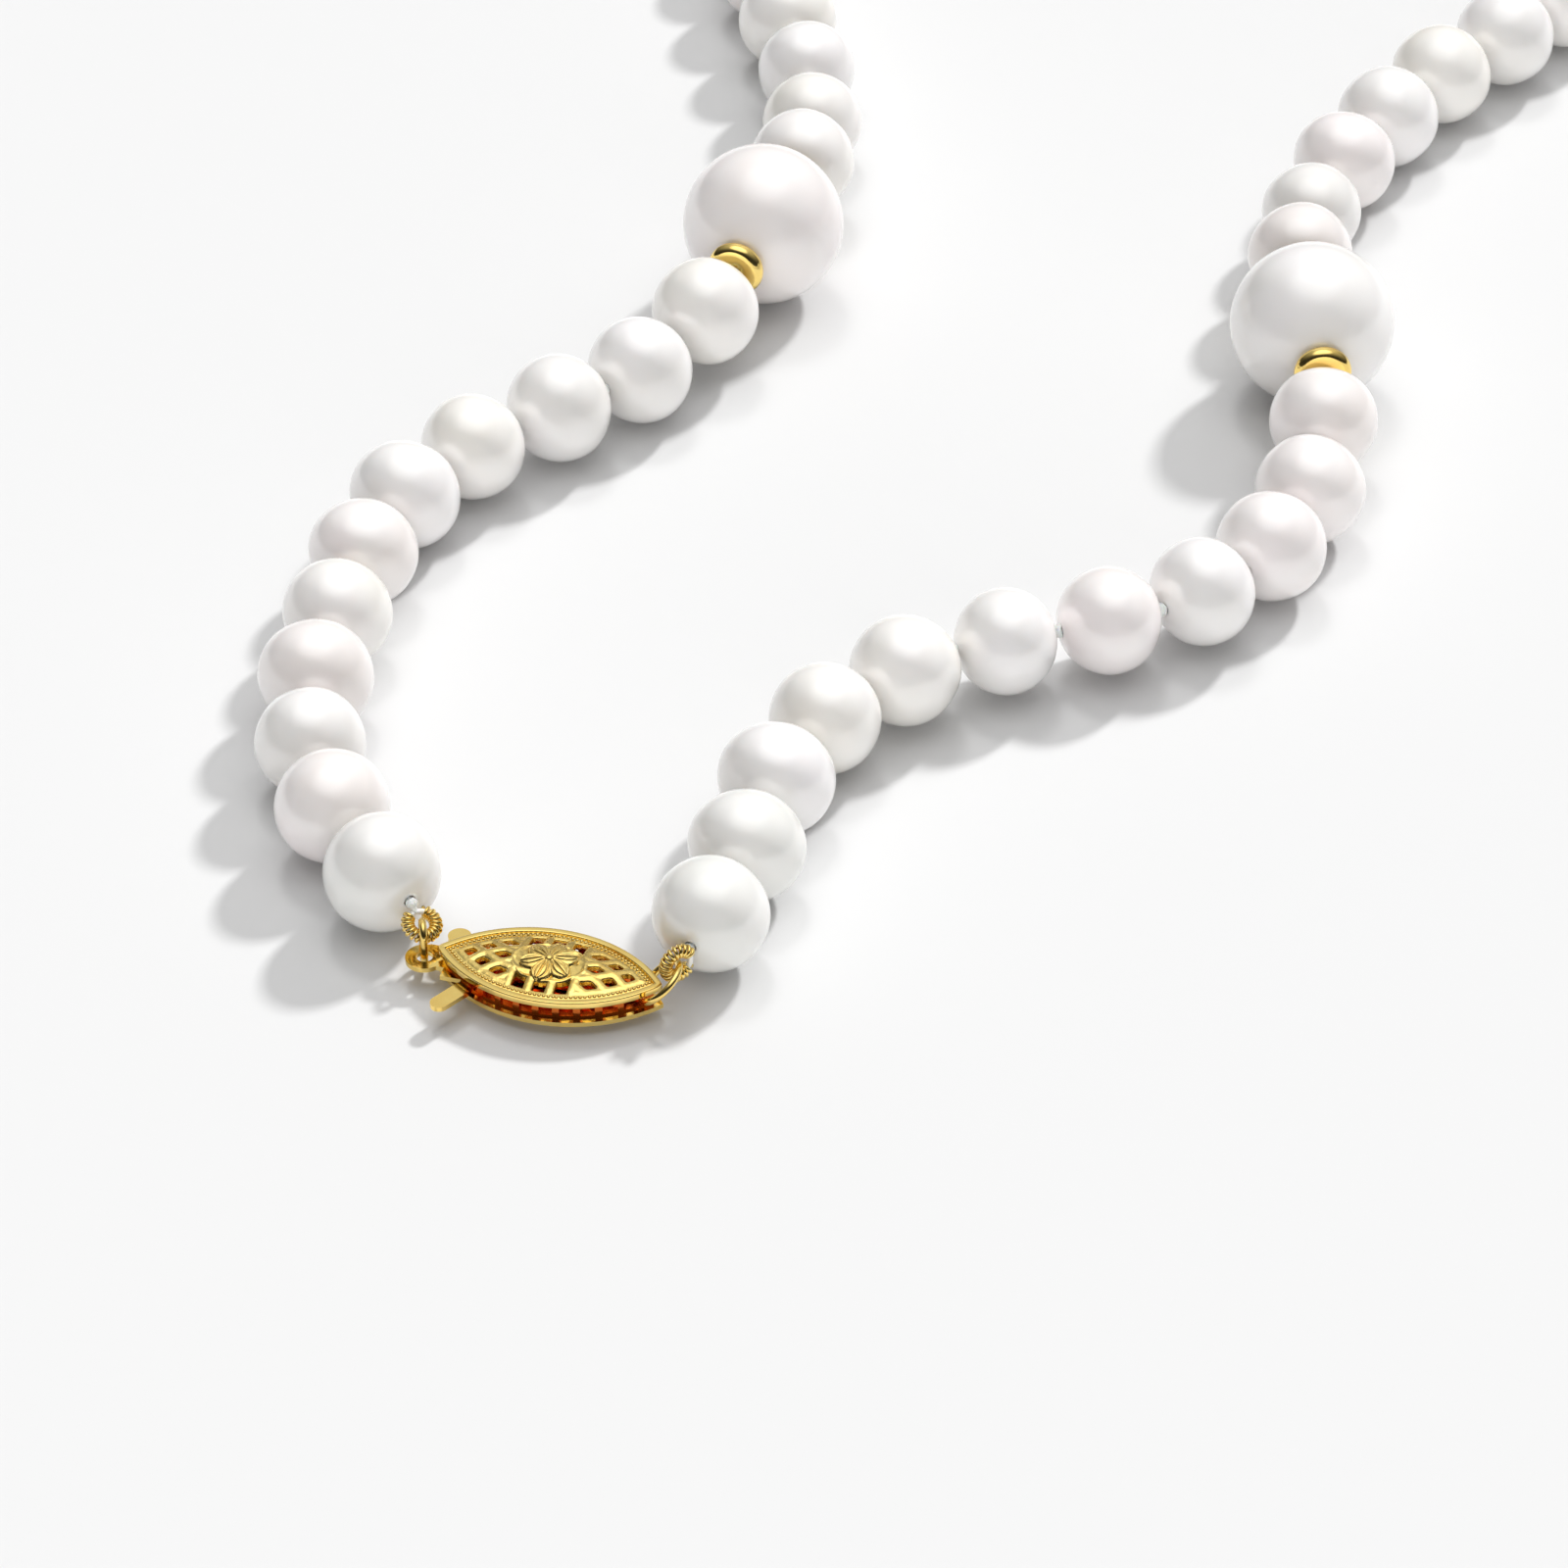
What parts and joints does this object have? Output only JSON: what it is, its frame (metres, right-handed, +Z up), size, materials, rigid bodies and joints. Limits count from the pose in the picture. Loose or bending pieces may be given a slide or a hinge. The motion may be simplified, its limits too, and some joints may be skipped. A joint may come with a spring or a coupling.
{
  "type": "pearl necklace",
  "caption": "Knotted pearl necklace with larger pearls set between rondelles and a pierced marquise box clasp whose hook slides out.",
  "frame": {"origin": "on the floor under the middle of the clasp, at the flat foot of its bottom plate", "axes": "+X along the clasp towards its ring end, +Y from the clasp towards the far side of the loop, +Z up"},
  "size_m": [0.0766, 0.1934, 0.0109],
  "materials": {
    "pearl": "lustrous nacre",
    "gold": "polished yellow gold",
    "silk": "twisted silk"
  },
  "bodies": {
    "clasp_box": {"clasp_top_plate": "gold", "clasp_bottom_plate": "gold", "clasp_gallery": "gold", "clasp_latch_bar": "gold", "clasp_end_ring": "gold"},
    "hook": {"hook_tongue": "gold"},
    "hook_leaf": {"hook_leaf": "gold"},
    "ring_left": {"ring_left": "gold"},
    "strand_left_01": {"bullion_left": "gold", "pearls_left_01": "pearl", "silk_left_01": "silk"},
    "strand_left_02": {"pearls_left_02": "pearl", "silk_left_02": "silk"},
    "strand_left_03": {"pearls_left_03": "pearl", "silk_left_03": "silk"},
    "strand_left_04": {"pearls_left_04": "pearl", "silk_left_04": "silk"},
    "strand_left_05": {"large_pearl_left": "pearl", "silk_left_05": "silk"},
    "strand_left_06": {"pearls_left_06": "pearl", "silk_left_06": "silk"},
    "strand_left_07": {"pearls_left_07": "pearl", "silk_left_07": "silk"},
    "strand_left_08": {"pearls_left_08": "pearl", "silk_left_08": "silk"},
    "strand_left_09": {"pearls_left_09": "pearl", "silk_left_09": "silk"},
    "strand_left_10": {"pearls_left_10": "pearl", "silk_left_10": "silk"},
    "strand_left_11": {"pearls_left_11": "pearl", "silk_left_11": "silk"},
    "rondelle_left_inner": {"rondelle_left_inner": "gold"},
    "rondelle_left_outer": {"rondelle_left_outer": "gold"},
    "strand_right_01": {"bullion_right": "gold", "pearls_right_01": "pearl", "silk_right_01": "silk"},
    "strand_right_02": {"pearls_right_02": "pearl", "silk_right_02": "silk"},
    "strand_right_03": {"pearls_right_03": "pearl", "silk_right_03": "silk"},
    "strand_right_04": {"pearls_right_04": "pearl", "silk_right_04": "silk"},
    "strand_right_05": {"large_pearl_right": "pearl", "silk_right_05": "silk"},
    "strand_right_06": {"pearls_right_06": "pearl", "silk_right_06": "silk"},
    "strand_right_07": {"pearls_right_07": "pearl", "silk_right_07": "silk"},
    "strand_right_08": {"pearls_right_08": "pearl", "silk_right_08": "silk"},
    "strand_right_09": {"pearls_right_09": "pearl", "silk_right_09": "silk"},
    "strand_right_10": {"pearls_right_10": "pearl", "silk_right_10": "silk"},
    "strand_right_11": {"pearls_right_11": "pearl", "silk_right_11": "silk"},
    "rondelle_right_inner": {"rondelle_right_inner": "gold"},
    "rondelle_right_outer": {"rondelle_right_outer": "gold"}
  },
  "joints": [
    {"name": "clasp_slide", "type": "slide", "parent": "clasp_box", "child": "hook", "axis": [-1, 0, 0], "range_m": [0, 0.012]},
    {"name": "leaf_flex", "type": "hinge", "parent": "hook", "child": "hook_leaf", "pos_m": [0.003, 0, 0.00138], "axis": [0, 1, 0], "range_deg": [0, 3]},
    {"name": "ring_left_turn", "type": "hinge", "parent": "hook", "child": "ring_left", "pos_m": [-0.0076, -0.0002, 0.0015], "axis": [0, 0, 1], "range_deg": [-13.5, 0.3]},
    {"name": "strand_left_01_turn", "type": "hinge", "parent": "ring_left", "child": "strand_left_01", "pos_m": [-0.0082, 0.00128, 0.0034], "axis": [0, 0, 1], "range_deg": [-0.3, 3.29]},
    {"name": "strand_left_02_turn", "type": "hinge", "parent": "strand_left_01", "child": "strand_left_02", "pos_m": [-0.02121, 0.01865, 0.00362], "axis": [0, 0, 1], "range_deg": [-3.18, 0.3]},
    {"name": "strand_left_03_turn", "type": "hinge", "parent": "strand_left_02", "child": "strand_left_03", "pos_m": [-0.02309, 0.0388, 0.00362], "axis": [0, 0, 1], "range_deg": [-0.3, 3.94]},
    {"name": "strand_left_04_turn", "type": "hinge", "parent": "strand_left_03", "child": "strand_left_04", "pos_m": [-0.01349, 0.05695, 0.00362], "axis": [0, 0, 1], "range_deg": [-0.3, 5.72]},
    {"name": "strand_left_05_turn", "type": "hinge", "parent": "strand_left_04", "child": "strand_left_05", "pos_m": [-0.00826, 0.06989, 0.00547], "axis": [0, 0, 1], "range_deg": [-0.3, 4.32]},
    {"name": "strand_left_06_turn", "type": "hinge", "parent": "strand_left_05", "child": "strand_left_06", "pos_m": [-0.00756, 0.08326, 0.00547], "axis": [0, 0, 1], "range_deg": [-8, 8]},
    {"name": "strand_left_07_turn", "type": "hinge", "parent": "strand_left_06", "child": "strand_left_07", "pos_m": [-0.01246, 0.1032, 0.00362], "axis": [0, 0, 1], "range_deg": [-2.93, 2.93]},
    {"name": "strand_left_08_turn", "type": "hinge", "parent": "strand_left_07", "child": "strand_left_08", "pos_m": [-0.02168, 0.12208, 0.00362], "axis": [0, 0, 1], "range_deg": [-2.3, 2.3]},
    {"name": "strand_left_09_turn", "type": "hinge", "parent": "strand_left_08", "child": "strand_left_09", "pos_m": [-0.02567, 0.14257, 0.00362], "axis": [0, 0, 1], "range_deg": [-2.3, 2.3]},
    {"name": "strand_left_10_turn", "type": "hinge", "parent": "strand_left_09", "child": "strand_left_10", "pos_m": [-0.02194, 0.16323, 0.00362], "axis": [0, 0, 1], "range_deg": [-2.3, 2.3]},
    {"name": "strand_left_11_turn", "type": "hinge", "parent": "strand_left_10", "child": "strand_left_11", "pos_m": [-0.0089, 0.17936, 0.00362], "axis": [0, 0, 1], "range_deg": [-5.55, 5.55]},
    {"name": "strand_right_01_turn", "type": "hinge", "parent": "clasp_box", "child": "strand_right_01", "pos_m": [0.00752, 0.00103, 0.0034], "axis": [0, 0, 1], "range_deg": [-5, 5]},
    {"name": "strand_right_02_turn", "type": "hinge", "parent": "strand_right_01", "child": "strand_right_02", "pos_m": [0.0086, 0.02258, 0.00362], "axis": [0, 0, 1], "range_deg": [-7.04, 7.04]},
    {"name": "strand_right_03_turn", "type": "hinge", "parent": "strand_right_02", "child": "strand_right_03", "pos_m": [0.0214, 0.03845, 0.00362], "axis": [0, 0, 1], "range_deg": [-1.9, 1.9]},
    {"name": "strand_right_04_turn", "type": "hinge", "parent": "strand_right_03", "child": "strand_right_04", "pos_m": [0.03346, 0.05427, 0.00362], "axis": [0, 0, 1], "range_deg": [-2.27, 2.27]},
    {"name": "strand_right_05_turn", "type": "hinge", "parent": "strand_right_04", "child": "strand_right_05", "pos_m": [0.03243, 0.06779, 0.00547], "axis": [0, 0, 1], "range_deg": [-2.01, 2.01]},
    {"name": "strand_right_06_turn", "type": "hinge", "parent": "strand_right_05", "child": "strand_right_06", "pos_m": [0.02829, 0.08052, 0.00547], "axis": [0, 0, 1], "range_deg": [-4.12, 4.12]},
    {"name": "strand_right_07_turn", "type": "hinge", "parent": "strand_right_06", "child": "strand_right_07", "pos_m": [0.02882, 0.10102, 0.00362], "axis": [0, 0, 1], "range_deg": [-2.3, 2.3]},
    {"name": "strand_right_08_turn", "type": "hinge", "parent": "strand_right_07", "child": "strand_right_08", "pos_m": [0.03768, 0.12054, 0.00362], "axis": [0, 0, 1], "range_deg": [-5.96, 5.96]},
    {"name": "strand_right_09_turn", "type": "hinge", "parent": "strand_right_08", "child": "strand_right_09", "pos_m": [0.04392, 0.14056, 0.00362], "axis": [0, 0, 1], "range_deg": [-2.3, 2.3]},
    {"name": "strand_right_10_turn", "type": "hinge", "parent": "strand_right_09", "child": "strand_right_10", "pos_m": [0.04195, 0.16137, 0.00362], "axis": [0, 0, 1], "range_deg": [-3.15, 3.15]},
    {"name": "strand_right_11_turn", "type": "hinge", "parent": "strand_right_10", "child": "strand_right_11", "pos_m": [0.03033, 0.1786, 0.00362], "axis": [0, 0, 1], "range_deg": [-3.26, 3.26]},
    {"name": "rondelle_left_inner_spin", "type": "hinge", "parent": "strand_left_05", "child": "rondelle_left_inner", "pos_m": [-0.00822, 0.07072, 0.00547], "axis": [0.0523, 0.9986, 0], "continuous": true},
    {"name": "rondelle_left_outer_spin", "type": "hinge", "parent": "strand_left_05", "child": "rondelle_left_outer", "pos_m": [-0.0076, 0.08244, 0.00547], "axis": [0.0523, 0.9986, 0], "continuous": true},
    {"name": "rondelle_right_inner_spin", "type": "hinge", "parent": "strand_right_05", "child": "rondelle_right_inner", "pos_m": [0.03217, 0.06857, 0.00547], "axis": [-0.309, 0.9511, 0], "continuous": true},
    {"name": "rondelle_right_outer_spin", "type": "hinge", "parent": "strand_right_05", "child": "rondelle_right_outer", "pos_m": [0.02854, 0.07974, 0.00547], "axis": [-0.309, 0.9511, 0], "continuous": true}
  ],
  "couplings": [
    {"joint": "ring_left_turn", "follows": "clasp_slide", "rad_per_m": -19.194},
    {"joint": "strand_left_01_turn", "follows": "clasp_slide", "rad_per_m": 4.3517},
    {"joint": "strand_left_02_turn", "follows": "clasp_slide", "rad_per_m": -4.1914},
    {"joint": "strand_left_03_turn", "follows": "clasp_slide", "rad_per_m": 5.298},
    {"joint": "strand_left_04_turn", "follows": "clasp_slide", "rad_per_m": 7.8833},
    {"joint": "strand_left_05_turn", "follows": "clasp_slide", "rad_per_m": 5.8458},
    {"joint": "strand_left_07_turn", "follows": "strand_left_06_turn", "ratio": -0.32863},
    {"joint": "strand_left_08_turn", "follows": "strand_left_06_turn", "ratio": -0.25},
    {"joint": "strand_left_09_turn", "follows": "strand_left_06_turn", "ratio": -0.25},
    {"joint": "strand_left_10_turn", "follows": "strand_left_06_turn", "ratio": 0.24992},
    {"joint": "strand_left_11_turn", "follows": "strand_left_06_turn", "ratio": -0.65643},
    {"joint": "strand_right_02_turn", "follows": "strand_right_01_turn", "ratio": -1.3473},
    {"joint": "strand_right_03_turn", "follows": "strand_right_01_turn", "ratio": 0.31953},
    {"joint": "strand_right_04_turn", "follows": "strand_right_01_turn", "ratio": -0.39372},
    {"joint": "strand_right_05_turn", "follows": "strand_right_01_turn", "ratio": -0.34233},
    {"joint": "strand_right_06_turn", "follows": "strand_right_01_turn", "ratio": 0.76383},
    {"joint": "strand_right_07_turn", "follows": "strand_left_06_turn", "ratio": 0.25},
    {"joint": "strand_right_08_turn", "follows": "strand_left_06_turn", "ratio": 0.7079},
    {"joint": "strand_right_09_turn", "follows": "strand_left_06_turn", "ratio": -0.25},
    {"joint": "strand_right_10_turn", "follows": "strand_left_06_turn", "ratio": -0.35676},
    {"joint": "strand_right_11_turn", "follows": "strand_left_06_turn", "ratio": 0.37028}
  ]
}
